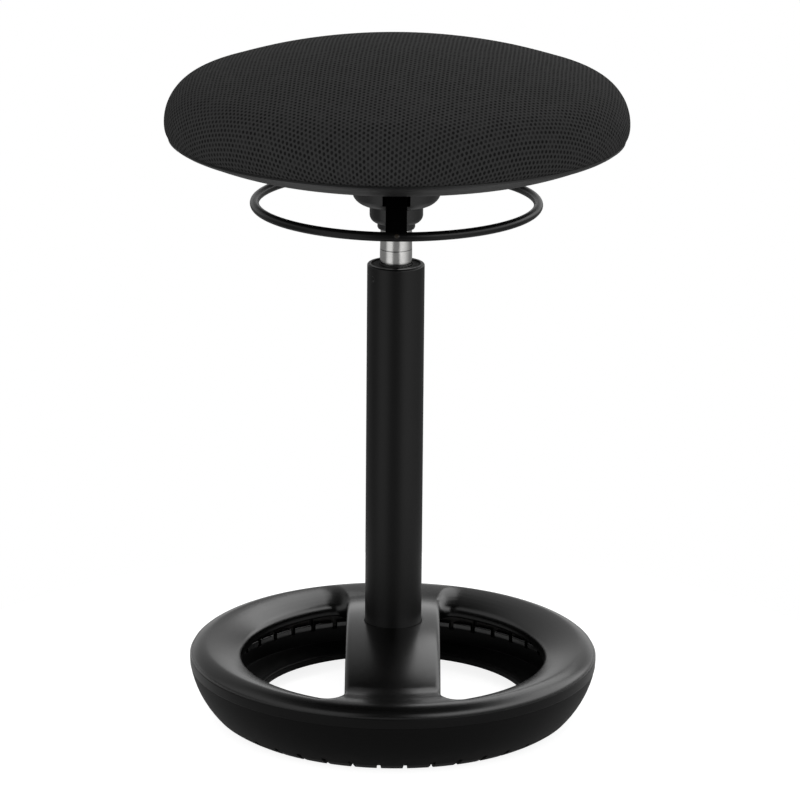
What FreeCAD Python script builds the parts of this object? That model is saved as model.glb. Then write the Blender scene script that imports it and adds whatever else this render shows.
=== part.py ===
import FreeCAD, Part
import math
import os
import re
import Sketcher

V = FreeCAD.Vector
doc = FreeCAD.newDocument("stool")
sheet = doc.addObject("Spreadsheet::Sheet", "dims")

SIZES = (
    ("base_radius", 180.0, "outer radius of the ring base"),
    ("ring_width", 46.0, "width of the ring base at the lip"),
    ("seam_height", 55.5, "joint between top frame and lower bowl"),
    ("band_width", 9.0, "height of the bowl's visible band below the seam"),
    ("crest_radius", 19.2, "rounding of the frame's outer shoulder"),
    ("hub_rise", 29.4, "top of the column socket above the seam"),
    ("bridge_arch", 301.0, "arc radius of the bridge's back"),
    ("valley_reach", 12.0, "bridge's foot inside the D hole's radius"),
    ("valley_drop", 1.67, "bridge's foot below the ridge"),
    ("valley_round", 31.0, "hollow between bridge and ridge"),
    ("ridge_round", 90.0, "arc radius of the ridge's inner side"),
    ("edge_round", 4.0, "rounding of the D hole edges"),
    ("hub_radius", 36.0, "land and boss radius of the column socket"),
    ("hub_depth", 59.9, "length of the column socket"),
    ("skirt_depth", 10.5, "frame's skirts below the seam"),
    ("lip_drop", 6.1, "start of the lip's rounding below the seam"),
    ("lip_rise", 15.35, "height of the ring's rounded inner side"),
    ("lip_run", 33.0, "width of the ring's rounded inner side"),
    ("hole_shift", 8.0, "arc centre of a D hole beyond the column axis"),
    ("bridge_half", 41.5, "half width of the bridge"),
    ("corner_round", 12.0, "plan rounding of the D hole corners"),
    ("frame_wall", 4.0, "wall of the top frame"),
    ("bowl_wall", 4.0, "wall of the lower bowl"),
    ("floor_rise", 18.0, "bowl floor under the ballast"),
    ("tooth_inset", 34.0, "toothed wall's inner face inside the base's edge"),
    ("tooth_drop", 18.5, "top of the toothed wall below the seam"),
    ("tooth_gap", 4.6, "width of a notch between teeth"),
    ("tooth_deep", 7.0, "depth of a notch between teeth"),
    ("tooth_round", 1.8, "rounding of a tooth's upper edges"),
    ("lug_count", 42, "tread lugs and teeth round the ring"),
    ("lug_gap", 4.0, "width of a tread groove"),
    ("tread_width", 60.7, "tread's inner edge inside the base's edge"),
    ("sole_wall", 5.4, "rubber thickness under the bowl"),
    ("land_inset", 34.5, "inner edge of the tread's flat inside the base's edge"),
    ("lip_foot", 9.1, "lower edge of the tread's inner lip above the floor"),
    ("sole_round", 1.6, "rounding of the inner lip's upper edge"),
    ("sole_lip", 15.0, "top of the tread's inner lip"),
    ("sole_lip_wall", 4.5, "wall of the tread's inner lip"),
    ("groove_deep", 2.6, "depth of a tread groove at the flat"),
    ("foot_inset", 21.0, "side wall's foot inside the base's edge"),
    ("foot_rise", 5.9, "side wall's foot above the floor"),
    ("toe_inset", 30.5, "outer edge of the tread's flat inside the base's edge"),
    ("toe_bulge", 60.0, "arc radius of the tread's turn-under"),
    ("side_bulge", 82.0, "arc radius of the base's side wall"),
    ("screw_inset", 26.8, "base screw circle inside the base's edge"),
    ("screw_shank", 2.5, "base screw shank radius"),
    ("screw_head", 4.0, "base screw head radius"),
    ("screw_seat", 2.5, "bowl floor under a screw head"),
    ("screw_count", 6, "base screws"),
    ("tube_radius", 25.0, "outer radius of the column tube"),
    ("tube_wall", 2.0, "column tube wall"),
    ("tube_below", 4.0, "tube foot below the socket"),
    ("tube_length", 389.5, "column tube length"),
    ("tube_roll", 1.6, "rolled upper edge of the column tube"),
    ("tube_taper", 2.0, "radius lost by the tube inside the hub"),
    ("bush_length", 110.0, "guide bush length"),
    ("cyl_radius", 14.0, "gas cylinder outer radius"),
    ("cyl_wall", 2.0, "gas cylinder wall"),
    ("cyl_taper", 0.8, "radius lost over the cylinder's upper cone"),
    ("cone_length", 58.0, "length of the cylinder's upper cone"),
    ("rod_radius", 5.0, "piston rod radius"),
    ("rod_neck", 4.0, "radius of the rod's lower end"),
    ("piston_drop", 85.5, "top of the piston below the tube's top, seat lowest"),
    ("piston_length", 14.0, "piston length"),
    ("plate_thick", 5.0, "end plate thickness"),
    ("race_thick", 2.0, "bearing washer thickness"),
    ("ball_radius", 2.0, "bearing ball radius"),
    ("ball_count", 12, "bearing balls"),
    ("bumper_thick", 6.0, "rubber end stop thickness"),
    ("ring_lift", 53.5, "hand ring plane above the tube's top, seat lowest"),
    ("ring_radius", 122.7, "hand ring centre line radius"),
    ("ring_rod", 4.0, "hand ring rod radius"),
    ("strap_width", 18.0, "strap width"),
    ("strap_thick", 3.0, "strap thickness"),
    ("strap_flat", 36.0, "half length of the strap's level middle"),
    ("strap_rise", 18.5, "strap underside above the ring plane"),
    ("pivot_reach", 28.0, "hinge pin in front of the column axis"),
    ("pivot_radius", 3.0, "hinge pin radius"),
    ("eye_wall", 1.5, "wall of the strap's hinge eye"),
    ("eye_sink", 0.5, "hinge eye sunk into the strap"),
    ("eye_room", 1.0, "hinge eye to mount plate"),
    ("socket_wall", 2.9, "taper socket wall"),
    ("socket_drop", 22.0, "taper socket foot below the ring plane"),
    ("cheek_thick", 4.0, "side cheek thickness"),
    ("cheek_gap", 5.0, "strap edge to cheek"),
    ("cover_step", 23.2, "radius of the cover's lower step"),
    ("cover_brim", 37.3, "radius of the cover's shoulder"),
    ("cover_mouth", 46.5, "radius of the cover's upper rim"),
    ("cover_wall", 2.2, "cover wall"),
    ("mount_thick", 3.0, "mount plate thickness"),
    ("mount_half", 78.0, "half side of the mount plate"),
    ("bolt_half", 55.0, "half spacing of the seat bolts"),
    ("bolt_radius", 4.0, "seat bolt shank radius"),
    ("bolt_head", 7.0, "seat bolt head radius"),
    ("pan_inset", 3.6, "pan rim inside the seat's edge"),
    ("pan_flat", 95.0, "radius of the pan's level middle"),
    ("pan_wall", 3.0, "seat pan wall"),
    ("pan_depth", 26.3, "pan rim above the pan's level middle"),
    ("edge_pad", 11.6, "seat board's edge inside the seat's edge"),
    ("board_thick", 10.0, "seat board thickness"),
    ("seat_radius", 200.6, "largest radius of the seat"),
    ("bulge_rise", 12.7, "largest radius above the pan rim"),
    ("crown_lift", 27.2, "seat crown above the shoulder"),
    ("shoulder_inset", 32.6, "where crown meets rolled edge, inside the seat's edge"),
    ("shoulder_lift", 38.8, "height of that point above the largest radius"),
    ("edge_bulge", 39.6, "arc radius of the rolled edge"),
    ("cloth", 2.0, "seat fabric thickness"),
    ("run_gap", 0.05, "radial running clearance"),
    ("set_gap", 0.2, "assembly clearance"),
)
NAMES = set()
for row, (alias, size, note) in enumerate(SIZES, 1):
    sheet.set("A%d" % row, note)
    sheet.set("B%d" % row, str(size))
    sheet.setAlias("B%d" % row, alias)
    NAMES.add(alias)
doc.recompute()


# Levels and radii that follow from the sizes
DERIVED = {
    "hole_radius": "base_radius - ring_width",
    "tooth_radius": "base_radius - tooth_inset",
    "sole_radius": "base_radius - tread_width",
    "sole_land": "base_radius - land_inset",
    "screw_pcd": "base_radius - screw_inset",
    "band_height": "seam_height - band_width",
    "skirt_foot": "seam_height - skirt_depth",
    "lip_height": "seam_height - lip_drop",
    "tooth_top": "seam_height - tooth_drop",
    "hub_height": "seam_height + hub_rise",
    "hub_foot": "hub_height - hub_depth",
    "tube_foot": "hub_foot - tube_below",
    "tube_top": "tube_foot + tube_length",
    "piston_height": "tube_top - piston_drop",
    "ring_height": "tube_top + ring_lift",
    "mount_rise": "strap_rise + strap_thick + 2 * (pivot_radius + eye_wall) - eye_sink + eye_room",
    "seam_rise": "mount_rise + mount_thick + pan_depth",
    "pan_radius": "seat_radius - pan_inset",
    "board_radius": "seat_radius - edge_pad",
    "shoulder_radius": "seat_radius - shoulder_inset",
    "seat_widest": "seam_rise + bulge_rise",
    "shoulder_rise": "seat_widest + shoulder_lift",
    "seat_crown": "shoulder_rise + crown_lift",
}


def spread(text):
    """The text with every derived name written out in sizes."""
    return re.sub(r"[a-z][a-z_]*",
                  lambda m: "(%s)" % spread(DERIVED[m[0]]) if m[0] in DERIVED else m[0], str(text))


def bound(text):
    """The text with every size name pointed at its cell."""
    return re.sub(r"[a-z][a-z_]*", lambda m: "dims." + m[0] if m[0] in NAMES else m[0], spread(text))


def value(text):
    return float(sheet.evalExpression(spread(text)))


def plus(*terms):
    return " + ".join("(%s)" % term for term in terms)


def less(first, *terms):
    return "(%s)" % first + "".join(" - (%s)" % term for term in terms)


def new_body(label, rise=None):
    body = doc.addObject("PartDesign::Body", label)
    body.Label = label
    if rise:
        body.setExpression("Placement.Base.z", bound(rise))
    return body


def plane_of(body, role):
    return next(f for f in body.Origin.OriginFeatures if f.Role == role)


def outline(body, name, plane, corners, offset=None):
    """Closed sketch. A corner is (across, up), or (across, up, radius, side) when an arc runs
    on from it; side is 1 with the arc's centre to the left of the way on, -1 to the right.
    With "axis" for its radius the arc is centred on the upright axis."""
    sketch = body.newObject("Sketcher::SketchObject", name)
    sketch.AttachmentSupport = [(plane_of(body, plane), "")]
    sketch.MapMode = "FlatFace"
    if offset:
        sketch.setExpression("AttachmentOffset.Base.z", bound(offset))
    points = [V(value(c[0]), value(c[1]), 0) for c in corners]
    ends = []
    for i, corner in enumerate(corners):
        p = points[i]
        q = points[(i + 1) % len(points)]
        if len(corner) == 2:
            sketch.addGeometry(Part.LineSegment(p, q), False)
            ends.append((1, 2))
            continue
        side = corner[3]
        half = (q - p).Length / 2
        if corner[2] == "axis":
            middle = (q.x * q.x - p.x * p.x + q.y * q.y - p.y * p.y) / (2 * (q.y - p.y))
            radius = math.hypot(p.x, p.y - middle)
        else:
            radius = value(corner[2])
        left = V(p.y - q.y, q.x - p.x, 0).normalize()
        centre = (p + q) * 0.5 + left * (side * math.sqrt(radius * radius - half * half))
        first, last = (p, q) if side > 0 else (q, p)
        start = math.atan2(first.y - centre.y, first.x - centre.x)
        stop = math.atan2(last.y - centre.y, last.x - centre.x)
        if stop < start:
            stop += 2 * math.pi
        sketch.addGeometry(Part.ArcOfCircle(Part.Circle(centre, V(0, 0, 1), radius), start, stop), False)
        ends.append((1, 2) if side > 0 else (2, 1))
    count = len(corners)
    for i in range(count):
        sketch.addConstraint(Sketcher.Constraint("Coincident", i, ends[i][1], (i + 1) % count,
                                                 ends[(i + 1) % count][0]))
    for i, corner in enumerate(corners):
        for kind, axis, text, at in (("DistanceX", -2, corner[0], points[i].x),
                                     ("DistanceY", -1, corner[1], points[i].y)):
            if str(text) == "0":
                sketch.addConstraint(Sketcher.Constraint("PointOnObject", i, ends[i][0], axis))
                continue
            at_index = sketch.addConstraint(Sketcher.Constraint(kind, -1, 1, i, ends[i][0], at))
            sketch.setExpression("Constraints[%d]" % at_index, bound(text))
        if len(corner) == 4 and corner[2] == "axis":
            sketch.addConstraint(Sketcher.Constraint("PointOnObject", i, 3, -2))
        elif len(corner) == 4:
            at_index = sketch.addConstraint(Sketcher.Constraint("Radius", i, value(corner[2])))
            sketch.setExpression("Constraints[%d]" % at_index, bound(corner[2]))
    return sketch


def turned(body, name, corners, kind="PartDesign::Revolution"):
    """A turned feature about the column axis from a half section."""
    sketch = outline(body, name + "_section", "XZ_Plane", corners)
    feature = body.newObject(kind, name)
    feature.Profile = sketch
    feature.ReferenceAxis = (sketch, ["V_Axis"])
    feature.Angle = 360
    return feature


def turned_part(label, corners, rise=None):
    body = new_body(label, rise)
    turned(body, label + "_turn", corners)
    return body


def box_corners(low_across, low_up, high_across, high_up):
    return [(low_across, low_up), (high_across, low_up), (high_across, high_up), (low_across, high_up)]


def slab(body, name, plane, corners, thick, kind="PartDesign::Pad"):
    """A pad or pocket of even thickness on both sides of an origin plane."""
    feature = body.newObject(kind, name)
    feature.Profile = outline(body, name + "_section", plane, corners)
    feature.Midplane = True
    feature.setExpression("Length", bound(thick))
    return feature


def drilled(body, name, plane, spots, radius, start, depth, kind="PartDesign::Pocket", reverse=False):
    """Round holes or pegs at (across, up) spots, from an offset plane over a depth."""
    sketch = body.newObject("Sketcher::SketchObject", name + "_spots")
    sketch.AttachmentSupport = [(plane_of(body, plane), "")]
    sketch.MapMode = "FlatFace"
    sketch.setExpression("AttachmentOffset.Base.z", bound(start))
    for across, up in spots:
        circle = Part.Circle(V(value(across), value(up), 0), V(0, 0, 1), value(radius))
        at = sketch.addGeometry(circle, False)
        index = sketch.addConstraint(Sketcher.Constraint("Radius", at, value(radius)))
        sketch.setExpression("Constraints[%d]" % index, bound(radius))
        for kind_of, axis, text in (("DistanceX", -2, across), ("DistanceY", -1, up)):
            if str(text) == "0":
                sketch.addConstraint(Sketcher.Constraint("PointOnObject", at, 3, axis))
                continue
            index = sketch.addConstraint(Sketcher.Constraint(kind_of, -1, 1, at, 3, value(text)))
            sketch.setExpression("Constraints[%d]" % index, bound(text))
    feature = body.newObject(kind, name)
    feature.Profile = sketch
    feature.Reversed = reverse
    feature.setExpression("Length", bound(depth))
    return feature


def round_array(body, name, features, count):
    """The features repeated evenly about the column axis."""
    array = body.newObject("PartDesign::PolarPattern", name)
    array.Originals = features
    array.Axis = (plane_of(body, "Z_Axis"), [""])
    array.Angle = 360
    array.setExpression("Occurrences", bound(count))
    body.Tip = array
    return array


# Base: levels and radii that several pieces share
RIM_IN = less("base_radius", "bowl_wall")
SKIRT_OUT = less(RIM_IN, "set_gap")
SIDE_FOOT = ("base_radius - foot_inset", "foot_rise")
SIDE_TOP = ("base_radius - 0.4", less("band_height", "set_gap"))
SLOPE_MID = plus("lip_height", "lip_rise * 0.5")
RIDGE = "base_radius - 2 - crest_radius * 0.707"
RIDGE_RISE = "seam_height + 3.5 + crest_radius * 0.293"


def d_hole(level_radius, corner):
    """Half moon beside the bridge with rounded corners, as an outline."""
    arc = "((%s) + hole_shift)" % level_radius
    offset = "(bridge_half + hole_shift + (%s))" % corner
    middle = "sqrt((%s - (%s))^2 - %s^2)" % (arc, corner, offset)
    scale = "%s / (%s - (%s))" % (arc, arc, corner)
    across = "%s * %s - hole_shift" % (offset, scale)
    along = "%s * %s" % (middle, scale)
    return [
        ("bridge_half", "-1 * " + middle),
        ("bridge_half", middle, corner, -1),
        (across, along, arc, -1),
        (across, "-1 * " + along, corner, -1),
    ]


frame = new_body("base_frame")
turned(frame, "frame_dome", [
    (0, "skirt_foot"),
    (SKIRT_OUT, "skirt_foot"),
    (SKIRT_OUT, "seam_height"),
    ("base_radius", "seam_height"),
    ("base_radius - 2", "seam_height + 3.5", "crest_radius", 1),
    (RIDGE, RIDGE_RISE, "ridge_round", 1),
    ("hole_radius + 8", plus(RIDGE_RISE, "-valley_drop - 1.4"), "valley_round", -1),
    ("hole_radius - valley_reach", plus(RIDGE_RISE, "-valley_drop"), "bridge_arch", 1),
    ("tube_radius + 1.5", "hub_height"),
    (0, "hub_height"),
])
levels = [("-5", "hole_radius")]
for rise, run in ((0, 0), (0.208, 0.024), (0.352, 0.079), (0.45, 0.158), (0.573, 0.279), (0.704, 0.43),
                  (0.814, 0.582), (0.899, 0.727), (0.958, 0.855), (1, 1)):
    levels.append(("lip_height + lip_rise * %s" % rise, "hole_radius + lip_run * %s" % run))
levels.append(("hub_height + 8", "hole_radius + lip_run + 70"))
rings = []
for i, (level, radius) in enumerate(levels):
    corner = "corner_round + 0.2 * ((%s) - hole_radius)" % radius
    rings.append(outline(frame, "hole_%d" % i, "XY_Plane", d_hole(radius, corner), level))
hole = frame.newObject("PartDesign::SubtractiveLoft", "frame_hole")
hole.Profile = rings[0]
hole.Sections = rings[1:]
hole.Ruled = True
doc.recompute()
holes = round_array(frame, "frame_holes", [hole], 2)
doc.recompute()
low = value(SLOPE_MID)
near = value("hub_radius") + 1
side = value("bridge_half") + 0.5
rim = []
for i, edge in enumerate(holes.Shape.Edges, 1):
    spots = [edge.valueAt(edge.FirstParameter + (edge.LastParameter - edge.FirstParameter) * k / 4)
             for k in range(5)]
    along = all(abs(spot.x) < side and math.hypot(spot.x, spot.y) > near for spot in spots)
    faces = holes.Shape.ancestorsOfType(edge, Part.Face)
    domed = sum(isinstance(face.Surface, Part.Toroid) for face in faces)
    if along and domed == 1 and min(spot.z for spot in spots) > low:
        rim.append("Edge%d" % i)
soft = frame.newObject("PartDesign::Fillet", "frame_edges")
soft.Base = (holes, rim)
soft.setExpression("Radius", bound("edge_round"))
doc.recompute()
turned(frame, "frame_channel", [
    ("hole_radius + frame_wall + 6", "skirt_foot - 1"),
    (less(SKIRT_OUT, "frame_wall"), "skirt_foot - 1"),
    (less(SKIRT_OUT, "frame_wall"), "seam_height - 1.5"),
    (RIDGE, "seam_height + 2"),
    ("hole_radius + frame_wall + 6", "lip_height + 3"),
], "PartDesign::Groove")
slab(frame, "bridge_hollow", "YZ_Plane", [
    ("-hole_radius - frame_wall", "skirt_foot - 1"),
    ("hole_radius + frame_wall", "skirt_foot - 1"),
    ("hole_radius + frame_wall", "seam_height - 1"),
    ("hub_radius + 50", "seam_height + 12"),
    ("hub_radius", "hub_height - 8"),
    ("-hub_radius", "hub_height - 8"),
    ("-hub_radius - 50", "seam_height + 12"),
    ("-hole_radius - frame_wall", "seam_height - 1"),
], "2 * (bridge_half - frame_wall)", "PartDesign::Pocket")
turned(frame, "frame_boss", [
    (0, "hub_foot"),
    ("hub_radius - 2", "hub_foot"),
    ("hub_radius", "hub_height - 6"),
    (0, "hub_height - 6"),
])
turned(frame, "frame_bore", [
    (0, "hub_foot - 1"),
    ("tube_radius - tube_taper * (hub_height - hub_foot + 1) / (hub_height - tube_foot) + run_gap",
     "hub_foot - 1"),
    ("tube_radius + run_gap", "hub_height"),
    ("tube_radius + run_gap", "hub_height + 1"),
    (0, "hub_height + 1"),
], "PartDesign::Groove")
boss = drilled(frame, "screw_boss", "XY_Plane", [("screw_pcd", 0)], "screw_shank + 3", "skirt_foot - 1.5",
               "seam_height - skirt_foot + 3", "PartDesign::Pad")
doc.recompute()
bosses = round_array(frame, "screw_bosses", [boss], "screw_count")
doc.recompute()
pilot = drilled(frame, "screw_pilot", "XY_Plane", [("screw_pcd", 0)], "screw_shank + run_gap",
                "skirt_foot - 2", "seam_height - skirt_foot", reverse=True)
doc.recompute()
round_array(frame, "screw_pilots", [pilot], "screw_count")

SOLE_IN = plus("sole_radius", "sole_lip_wall")
FLOOR = "sole_wall + 0.4"
LIP_SEAT = "lip_foot + 3.4"
TOE = "base_radius - toe_inset"
TOOTH_OUT = plus("tooth_radius", "bowl_wall")
bowl = new_body("base_bowl")
turned(bowl, "bowl_turn", [
    ("base_radius", less("seam_height", "set_gap")),
    (RIM_IN, less("seam_height", "set_gap")),
    (RIM_IN, "skirt_foot - 1", "side_bulge - 8", -1),
    ("base_radius - 20", "floor_rise + 3.5"),
    (TOOTH_OUT, "floor_rise"),
    (TOOTH_OUT, "tooth_top - tooth_round", "tooth_round", 1),
    ("tooth_radius + bowl_wall - tooth_round", "tooth_top"),
    ("tooth_radius + tooth_round", "tooth_top", "tooth_round", 1),
    ("tooth_radius", "tooth_top - tooth_round"),
    ("tooth_radius", "sole_lip + 3"),
    (SOLE_IN, "sole_lip - 0.5"),
    (SOLE_IN, plus(LIP_SEAT, "run_gap")),
    ("sole_land", FLOOR),
    (TOE, FLOOR),
    ("base_radius - foot_inset - sole_wall * 0.8", "foot_rise + sole_wall * 0.75", "side_bulge - 3", 1),
    ("base_radius - 3", "band_height"),
    ("base_radius - 0.3", "band_height", "60", 1),
])
notch = slab(bowl, "tooth_notch", "XZ_Plane", box_corners(
    "tooth_radius - 1", "tooth_top - tooth_deep", "tooth_radius + bowl_wall + 1", "tooth_top + 1"),
    "tooth_gap", "PartDesign::Pocket")
doc.recompute()
notches = round_array(bowl, "tooth_notches", [notch], "lug_count")
doc.recompute()
seat_hole = drilled(bowl, "screw_hole", "XY_Plane", [("screw_pcd", 0)], "screw_shank + set_gap", "0",
                    "floor_rise + 5", reverse=True)
head_hole = drilled(bowl, "screw_sink", "XY_Plane", [("screw_pcd", 0)], "screw_head + set_gap", "0",
                    "floor_rise - screw_seat", reverse=True)
doc.recompute()
round_array(bowl, "screw_holes", [seat_hole, head_hole], "screw_count")

tread = new_body("tread_ring")
turned(tread, "tread_turn", [
    (SIDE_TOP[0], SIDE_TOP[1], "side_bulge", -1),
    (SIDE_FOOT[0], SIDE_FOOT[1], "toe_bulge", -1),
    (TOE, 0),
    ("sole_land", 0),
    ("sole_radius", "lip_foot"),
    ("sole_radius", "sole_lip - sole_round", "sole_round", -1),
    ("sole_radius + sole_round", "sole_lip"),
    (less(SOLE_IN, "run_gap"), "sole_lip"),
    (less(SOLE_IN, "run_gap"), LIP_SEAT),
    ("sole_land", less(FLOOR, "run_gap")),
    (TOE, less(FLOOR, "run_gap")),
    ("base_radius - foot_inset - sole_wall * 0.8 + run_gap", "foot_rise + sole_wall * 0.75 - run_gap",
     "side_bulge - 3", 1),
    ("base_radius - 3 + run_gap", SIDE_TOP[1]),
])
groove = slab(tread, "lug_groove", "XZ_Plane", [
    ("sole_land - 16", "-1"),
    ("base_radius - foot_inset + 6", "-1"),
    ("base_radius - foot_inset + 6", "foot_rise + 2.3"),
    ("base_radius - foot_inset + 0.5", "foot_rise + 3.3"),
    (TOE, "groove_deep"),
    ("sole_land", "groove_deep"),
    ("sole_land - 16", "lip_foot * 0.55"),
], "lug_gap", "PartDesign::Pocket")
doc.recompute()
round_array(tread, "lug_grooves", [groove], "lug_count")

ballast = new_body("ballast_ring")
turned(ballast, "ballast_turn", [
    (plus(TOOTH_OUT, "set_gap"), "floor_rise + 0.2"),
    ("base_radius - 20.2", "floor_rise + 3.7"),
    ("base_radius - 11.6", "floor_rise + 15.5"),
    ("base_radius - 11.6", "skirt_foot - 2.5"),
    (plus(TOOTH_OUT, "set_gap"), "skirt_foot - 2.5"),
])
ballast_hole = drilled(ballast, "ballast_hole", "XY_Plane", [("screw_pcd", 0)], "screw_shank + 1", "0",
                       "skirt_foot", reverse=True)
doc.recompute()
round_array(ballast, "ballast_holes", [ballast_hole], "screw_count")

screws = new_body("base_screws")
shank = drilled(screws, "screw_shanks", "XY_Plane", [("screw_pcd", 0)], "screw_shank",
                "floor_rise - screw_seat", "skirt_foot - floor_rise + 7", "PartDesign::Pad")
head = drilled(screws, "screw_heads", "XY_Plane", [("screw_pcd", 0)], "screw_head",
               "floor_rise - screw_seat - 2.3", "2.3", "PartDesign::Pad")
doc.recompute()
round_array(screws, "screw_set", [shank, head], "screw_count")

# Column and gas spring
PLATE_FOOT = "tube_foot + 2"
RACE_FOOT = plus(PLATE_FOOT, "plate_thick")
BALL_FOOT = plus(RACE_FOOT, "race_thick")
RACE_TOP = plus(BALL_FOOT, "2 * ball_radius")
BUMPER_FOOT = plus(RACE_TOP, "race_thick")
CYL_FOOT = plus(BUMPER_FOOT, "bumper_thick")
TUBE_IN = less("tube_radius", "tube_wall")
TUBE_LIP = less(TUBE_IN, "1.4")
PLATE_RADIUS = less("tube_radius", "tube_wall", "tube_taper", "set_gap")
turned_part("column_tube", [
    ("tube_radius - tube_taper", "tube_foot"),
    ("tube_radius", "hub_height"),
    ("tube_radius", "tube_top - tube_roll", "tube_roll", 1),
    ("tube_radius - tube_roll", "tube_top"),
    (TUBE_LIP, "tube_top"),
    (TUBE_LIP, "tube_top - 2"),
    (TUBE_IN, "tube_top - 2"),
    (TUBE_IN, "hub_height"),
    (less(TUBE_IN, "tube_taper"), "tube_foot"),
])
turned_part("tube_end_plate", box_corners(plus("rod_neck", "run_gap"), PLATE_FOOT, PLATE_RADIUS, RACE_FOOT))
turned_part("lower_race", box_corners(plus("rod_neck", "run_gap"), RACE_FOOT, "3 * rod_neck", BALL_FOOT))
turned_part("guide_bush", [
    (plus("cyl_radius", "run_gap"), "tube_top - 2.5 - bush_length"),
    (less(TUBE_IN, "run_gap"), "tube_top - 2.5 - bush_length"),
    (less(TUBE_IN, "run_gap"), "tube_top - 2.5"),
    (less(TUBE_LIP, "set_gap"), "tube_top - 2.5"),
    (less(TUBE_LIP, "set_gap"), "tube_top - 0.9"),
    ("cyl_radius + run_gap + 1", "tube_top - 0.9"),
    (plus("cyl_radius", "run_gap"), "tube_top - 1.9"),
])
BALL_MID = plus(BALL_FOOT, "ball_radius")
cage = new_body("ball_cage")
turned(cage, "cage_turn", box_corners(
    plus("rod_neck", "set_gap"), plus(BALL_FOOT, "0.6"), "3 * rod_neck - 0.5", less(RACE_TOP, "0.6")))
pocket = drilled(cage, "cage_pocket", "XY_Plane", [("2 * rod_neck", 0)], "ball_radius + run_gap", BALL_FOOT,
                 "2 * ball_radius", reverse=True)
doc.recompute()
round_array(cage, "cage_pockets", [pocket], "ball_count")
balls = new_body("bearing_balls")
ball_section = outline(balls, "ball_section", "XZ_Plane", [
    ("2 * rod_neck", BALL_FOOT, "ball_radius", 1),
    (plus("2 * rod_neck", "ball_radius"), BALL_MID, "ball_radius", 1),
    ("2 * rod_neck", RACE_TOP),
])
ball = balls.newObject("PartDesign::Revolution", "ball_turn")
ball.Profile = ball_section
ball.ReferenceAxis = (ball_section, ["Edge3"])
ball.Angle = 360
doc.recompute()
round_array(balls, "ball_set", [ball], "ball_count")

# Turning piston rod
turned_part("upper_race", box_corners(plus("rod_neck", "run_gap"), RACE_TOP, "3 * rod_neck", BUMPER_FOOT))
turned_part("end_bumper", box_corners(plus("rod_radius", "set_gap"), BUMPER_FOOT, "cyl_radius - 1", CYL_FOOT))
turned_part("rod_clip", box_corners(
    plus("rod_neck - 0.8", "run_gap"), less(PLATE_FOOT, "1.7"), "2 * rod_neck", less(PLATE_FOOT, "0.3")))
turned_part("piston_rod", [
    (0, less(PLATE_FOOT, "5")),
    ("rod_neck - 0.6", less(PLATE_FOOT, "5")),
    ("rod_neck", less(PLATE_FOOT, "4.4")),
    ("rod_neck", less(PLATE_FOOT, "1.8")),
    ("rod_neck - 0.8", less(PLATE_FOOT, "1.8")),
    ("rod_neck - 0.8", less(PLATE_FOOT, "0.2")),
    ("rod_neck", less(PLATE_FOOT, "0.2")),
    ("rod_neck", BUMPER_FOOT),
    ("rod_radius", BUMPER_FOOT),
    ("rod_radius", "piston_height - piston_length"),
    ("rod_neck", "piston_height - piston_length"),
    ("rod_neck", "piston_height + 3"),
    (0, "piston_height + 3"),
])
turned_part("piston", box_corners(plus("rod_neck", "run_gap"), "piston_height - piston_length",
                                  less("cyl_radius", "cyl_wall", "run_gap"), "piston_height"))

# Gas cylinder, carried by the seat
CYL_TOP = "ring_height + strap_rise - 4.5"
CONE_FOOT = less(CYL_TOP, "cone_length")
CYL_IN = less("cyl_radius", "cyl_wall")
VALVE_FOOT = less(CYL_TOP, "34")
turned_part("gas_cylinder", [
    (CYL_IN, CYL_FOOT),
    ("cyl_radius - 0.6", CYL_FOOT),
    ("cyl_radius", plus(CYL_FOOT, "0.6")),
    ("cyl_radius", CONE_FOOT),
    ("cyl_radius - cyl_taper", CYL_TOP),
    ("cyl_radius - cyl_taper - 3.2", CYL_TOP),
    ("cyl_radius - cyl_taper - 3.2", less(CYL_TOP, "2")),
    (less(CYL_IN, "cyl_taper"), less(CYL_TOP, "2")),
    (CYL_IN, CONE_FOOT),
])
turned_part("rod_guide", box_corners(
    plus("rod_radius", "run_gap"), plus(CYL_FOOT, "1"), less(CYL_IN, "run_gap"), plus(CYL_FOOT, "16")))
turned_part("valve_body", [
    (plus("rod_neck", "run_gap"), VALVE_FOOT),
    (less(CYL_IN, "cyl_taper", "set_gap"), VALVE_FOOT),
    (less(CYL_IN, "cyl_taper", "set_gap"), less(CYL_TOP, "2.1")),
    (plus("rod_neck", "run_gap"), less(CYL_TOP, "2.1")),
])
turned_part("valve_pin", [
    (0, less(VALVE_FOOT, "4")),
    ("rod_neck", less(VALVE_FOOT, "4")),
    ("rod_neck", plus(CYL_TOP, "2.7"), "1.5", 1),
    ("rod_neck - 1.5", plus(CYL_TOP, "4.2")),
    (0, plus(CYL_TOP, "4.2")),
])

# Mount, hinge and hand ring, drawn about the ring plane
RING = "ring_height"
CHEEK_IN = "strap_width / 2 + cheek_gap"
CHEEK_OUT = plus(CHEEK_IN, "cheek_thick")
SOCKET_TOP = "strap_rise - 5"
EYE_OUT = plus("pivot_radius", "eye_wall")
PIVOT_RISE = plus("strap_rise", "strap_thick", EYE_OUT, "-eye_sink")
BORE_TOP = "cyl_radius - cyl_taper + run_gap"
BORE_FOOT = "cyl_radius - cyl_taper * (cone_length - strap_rise + 4.5 - socket_drop) / cone_length + run_gap"
socket = new_body("mount_socket", RING)
turned(socket, "socket_turn", [
    (BORE_FOOT, "-socket_drop"),
    (plus("cyl_radius", "socket_wall", "-0.5 - 0.6"), "-socket_drop"),
    (plus("cyl_radius", "socket_wall", "-0.5"), "-socket_drop + 1.2"),
    (plus("cyl_radius", "socket_wall", "-0.5"), SOCKET_TOP),
    ("cyl_radius - cyl_taper + run_gap", SOCKET_TOP),
])
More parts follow.
